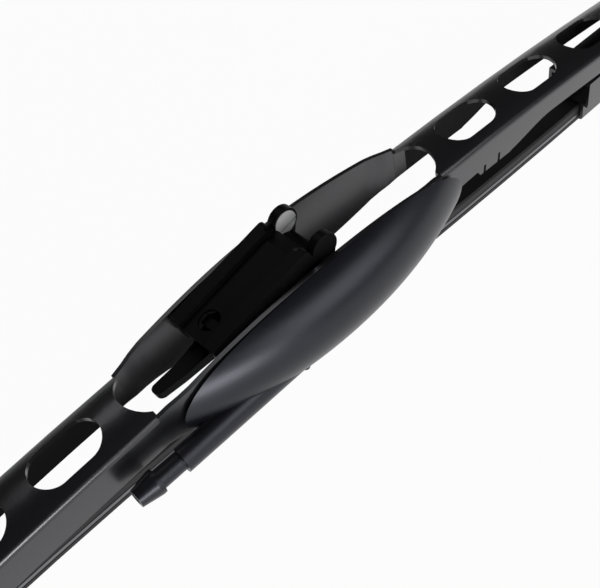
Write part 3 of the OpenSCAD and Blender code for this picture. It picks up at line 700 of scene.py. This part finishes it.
@dataclass
class Studio:
    """The floor, the lights and the camera round the blade."""

    target: tuple[float, float, float] = (-2.696 * MM, 0.0, -10.5 * MM)
    azimuth: float = -32.345
    elevation: float = 48.853
    distance: float = 229.44 * MM
    roll: float = 14.95
    lens: float = 57.48
    sensor: float = 36.0
    near_clip: float = 5.0 * MM
    air_strength: float = 0.06
    floor_gap: float = 0.5 * MM
    floor_half: float = 3.0
    floor_grey: float = 0.8
    floor_roughness: float = 0.9
    floor_white: float = 0.96
    boxes: tuple[SoftBox, ...] = (
        SoftBox("rear_box", 168.0, 56.0, 0.9, 0.5, 0.35, 0.62),
        SoftBox("front_box", 24.0, 32.0, 0.9, 0.6, 0.5, 2.4),
        SoftBox("low_box", -18.0, 12.0, 0.9, 0.4, 0.25, 4.0),
    )

    def build(self) -> None:
        """Sets the whole studio up."""
        self._set_colours()
        self._lay_floor()
        for box in self.boxes:
            self._hang(box)
        self._set_camera()
        LOG.info("studio with %d soft boxes", len(self.boxes))

    @staticmethod
    def _direction(azimuth: float, elevation: float) -> Vector:
        """Gives the unit direction out to an azimuth and elevation, where azimuth 0 is the front.

        Args:
            azimuth: Degrees round from the front, positive toward +X.
            elevation: Degrees over the horizon.

        Returns:
            The unit vector.
        """
        turn, lift = math.radians(azimuth), math.radians(elevation)
        flat = math.cos(lift)
        return Vector((math.sin(turn) * flat, -math.cos(turn) * flat, math.sin(lift)))

    @staticmethod
    def _sight(tree: bpy.types.NodeTree) -> bpy.types.NodeSocket:
        """Adds the test for rays that see the floor, straight or in a gloss.

        Args:
            tree: The node tree of the floor's paint.

        Returns:
            The socket that is 1 for such a ray.
        """
        ray = tree.nodes.new("ShaderNodeLightPath")
        seen = ray.outputs["Is Camera Ray"]
        for kind in ("Is Glossy Ray", "Is Transmission Ray"):
            either = tree.nodes.new("ShaderNodeMath")
            either.operation = "MAXIMUM"
            tree.links.new(seen, either.inputs[0])
            tree.links.new(ray.outputs[kind], either.inputs[1])
            seen = either.outputs["Value"]
        return seen

    def _set_colours(self) -> None:
        """Sets the view transform and a plain pale world."""
        scene = bpy.context.scene
        scene.view_settings.view_transform = "Standard"
        world = bpy.data.worlds.new("studio_air")
        scene.world = world
        world.use_nodes = True
        nodes, links = world.node_tree.nodes, world.node_tree.links
        air = nodes["Background"]
        air.inputs["Color"].default_value = (1.0, 1.0, 1.0, 1.0)
        air.inputs["Strength"].default_value = self.air_strength
        white = nodes.new("ShaderNodeBackground")
        white.inputs["Color"].default_value = (1.0, 1.0, 1.0, 1.0)
        white.inputs["Strength"].default_value = 1.0
        pick = nodes.new("ShaderNodeMixShader")
        ray = nodes.new("ShaderNodeLightPath")
        links.new(ray.outputs["Is Camera Ray"], pick.inputs["Fac"])
        links.new(air.outputs["Background"], pick.inputs[1])
        links.new(white.outputs["Background"], pick.inputs[2])
        links.new(pick.outputs["Shader"], nodes["World Output"].inputs["Surface"])

    def _floor_paint(self) -> bpy.types.Material:
        """Makes the floor's pale paint, which the camera sees as nearly white.

        Returns:
            The floor's material.
        """
        paint = bpy.data.materials.new("pale_floor")
        paint.use_nodes = True
        nodes, links = paint.node_tree.nodes, paint.node_tree.links
        matt = nodes["Principled BSDF"]
        matt.inputs["Base Color"].default_value = (*[self.floor_grey] * 3, 1.0)
        matt.inputs["Roughness"].default_value = self.floor_roughness
        white = nodes.new("ShaderNodeEmission")
        white.inputs["Strength"].default_value = 1.0
        share = nodes.new("ShaderNodeMath")
        share.operation = "MULTIPLY"
        share.inputs[1].default_value = self.floor_white
        pick = nodes.new("ShaderNodeMixShader")
        links.new(self._sight(paint.node_tree), share.inputs[0])
        links.new(share.outputs["Value"], pick.inputs["Fac"])
        links.new(matt.outputs["BSDF"], pick.inputs[1])
        links.new(white.outputs["Emission"], pick.inputs[2])
        links.new(pick.outputs["Shader"], nodes["Material Output"].inputs["Surface"])
        return paint

    def _lay_floor(self) -> None:
        """Lays the floor just under the lowest point of the blade."""
        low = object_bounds()[0][2] - self.floor_gap
        half = self.floor_half
        mesh = bpy.data.meshes.new("floor")
        rim = [(x * half, y * half, low) for x, y in ((-1, -1), (1, -1), (1, 1), (-1, 1))]
        mesh.from_pydata(rim, [], [(0, 1, 2, 3)])
        mesh.materials.append(self._floor_paint())
        floor = placed("floor", mesh)
        floor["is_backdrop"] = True

    def _hang(self, box: SoftBox) -> None:
        """Hangs one soft box, facing the blade's middle.

        Args:
            box: The soft box's place, size and power.
        """
        light = bpy.data.lights.new(box.name, "AREA")
        light.shape = "RECTANGLE"
        light.size, light.size_y = box.width, box.height
        light.energy = box.power
        lamp = placed(box.name, light)
        away = self._direction(box.azimuth, box.elevation)
        lamp.location = Vector(self.target) + away * box.distance
        lamp.rotation_euler = away.to_track_quat("Z", "Y").to_euler()

    def _set_camera(self) -> None:
        """Puts the camera where the photograph was taken from, with the same roll."""
        lens = bpy.data.cameras.new("photo_camera")
        lens.lens, lens.sensor_width = self.lens, self.sensor
        lens.clip_start = self.near_clip
        camera = placed("photo_camera", lens)
        away = self._direction(self.azimuth, self.elevation)
        turn, lift, roll = (math.radians(v) for v in (self.azimuth, self.elevation, self.roll))
        level = Vector((math.cos(turn), math.sin(turn), 0.0))
        tilt = math.sin(lift)
        upright = Vector((-math.sin(turn) * tilt, math.cos(turn) * tilt, math.cos(lift)))
        across = math.cos(roll) * level - math.sin(roll) * upright
        up = math.sin(roll) * level + math.cos(roll) * upright
        place = Matrix((across, up, away)).transposed().to_4x4()
        place.translation = Vector(self.target) + away * self.distance
        camera.matrix_world = place
        bpy.context.scene.camera = camera


def main() -> None:
    logging.basicConfig(level=logging.INFO, format="%(name)s: %(message)s")
    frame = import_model()
    shop = Paintshop()
    Studio().build()
    for kind in (PressedBridge, YokeSet, SprayHousing, ArmAdapter, WipingStrip):
        kind(frame["nodes"], shop).build()


if __name__ == "__main__":
    main()
